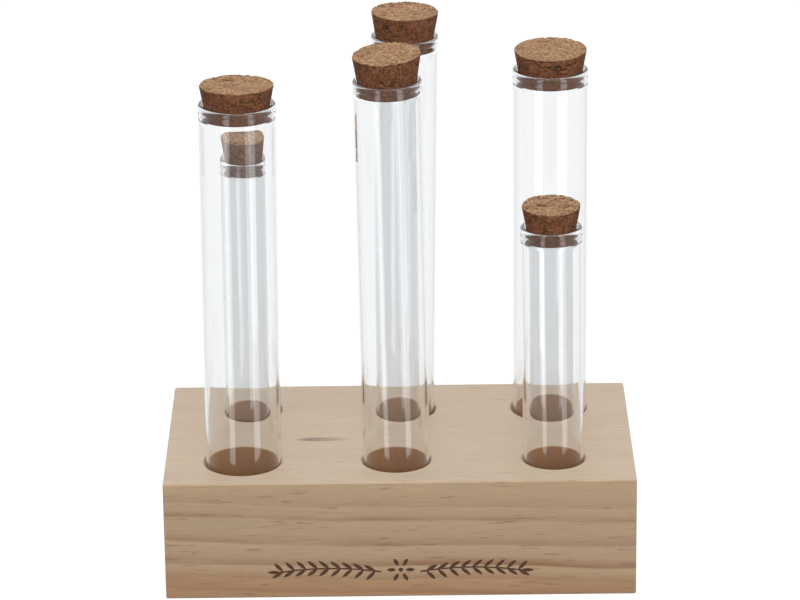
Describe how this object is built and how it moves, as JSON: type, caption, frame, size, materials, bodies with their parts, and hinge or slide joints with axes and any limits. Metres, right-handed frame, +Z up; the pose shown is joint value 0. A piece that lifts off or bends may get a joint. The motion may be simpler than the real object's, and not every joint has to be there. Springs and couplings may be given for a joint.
{
  "type": "test tube vase",
  "caption": "Wooden block bored from above, holding upright glass test tubes with tapered cork stoppers, for dried flowers, herbs or single stems.",
  "frame": {"origin": "centre of the block's underside", "axes": "+Z up, +X along the block to the right as seen from its front, -Y out of the engraved front face"},
  "size_m": [0.18, 0.1, 0.2114],
  "materials": {
    "pine": "planed and unvarnished, with a burnt ornament on the front",
    "clear_glass": "clear, fire polished",
    "cork": "cut natural cork, matt, pitted"
  },
  "bodies": {
    "block": {"block": "pine"},
    "tube_front_left": {"tube_front_left": "clear_glass"},
    "cork_front_left": {"cork_front_left": "cork"},
    "tube_front_middle": {"tube_front_middle": "clear_glass"},
    "cork_front_middle": {"cork_front_middle": "cork"},
    "tube_front_right": {"tube_front_right": "clear_glass"},
    "cork_front_right": {"cork_front_right": "cork"},
    "tube_rear_left": {"tube_rear_left": "clear_glass"},
    "cork_rear_left": {"cork_rear_left": "cork"},
    "tube_rear_middle": {"tube_rear_middle": "clear_glass"},
    "cork_rear_middle": {"cork_rear_middle": "cork"},
    "tube_rear_right": {"tube_rear_right": "clear_glass"},
    "cork_rear_right": {"cork_rear_right": "cork"}
  },
  "joints": [
    {"name": "tube_front_left_lift", "type": "slide", "parent": "block", "child": "tube_front_left", "axis": [0.0056, 0, 1], "range_m": [0, 0.04]},
    {"name": "cork_front_left_pull", "type": "slide", "parent": "tube_front_left", "child": "cork_front_left", "axis": [0.0056, 0, 1], "range_m": [0, 0.03]},
    {"name": "tube_front_middle_lift", "type": "slide", "parent": "block", "child": "tube_front_middle", "axis": [-0.0122, 0, 0.9999], "range_m": [0, 0.04]},
    {"name": "cork_front_middle_pull", "type": "slide", "parent": "tube_front_middle", "child": "cork_front_middle", "axis": [-0.0122, 0, 0.9999], "range_m": [0, 0.03]},
    {"name": "tube_front_right_lift", "type": "slide", "parent": "block", "child": "tube_front_right", "axis": [-0.0113, 0, 0.9999], "range_m": [0, 0.04]},
    {"name": "cork_front_right_pull", "type": "slide", "parent": "tube_front_right", "child": "cork_front_right", "axis": [-0.0113, 0, 0.9999], "range_m": [0, 0.03]},
    {"name": "tube_rear_left_lift", "type": "slide", "parent": "block", "child": "tube_rear_left", "axis": [0.0035, 0, 1], "range_m": [0, 0.04]},
    {"name": "cork_rear_left_pull", "type": "slide", "parent": "tube_rear_left", "child": "cork_rear_left", "axis": [0.0035, 0, 1], "range_m": [0, 0.03]},
    {"name": "tube_rear_middle_lift", "type": "slide", "parent": "block", "child": "tube_rear_middle", "axis": [0.0175, 0, 0.9998], "range_m": [0, 0.04]},
    {"name": "cork_rear_middle_pull", "type": "slide", "parent": "tube_rear_middle", "child": "cork_rear_middle", "axis": [0.0175, 0, 0.9998], "range_m": [0, 0.03]},
    {"name": "tube_rear_right_lift", "type": "slide", "parent": "block", "child": "tube_rear_right", "axis": [0.001, 0, 1], "range_m": [0, 0.04]},
    {"name": "cork_rear_right_pull", "type": "slide", "parent": "tube_rear_right", "child": "cork_rear_right", "axis": [0.001, 0, 1], "range_m": [0, 0.03]}
  ]
}
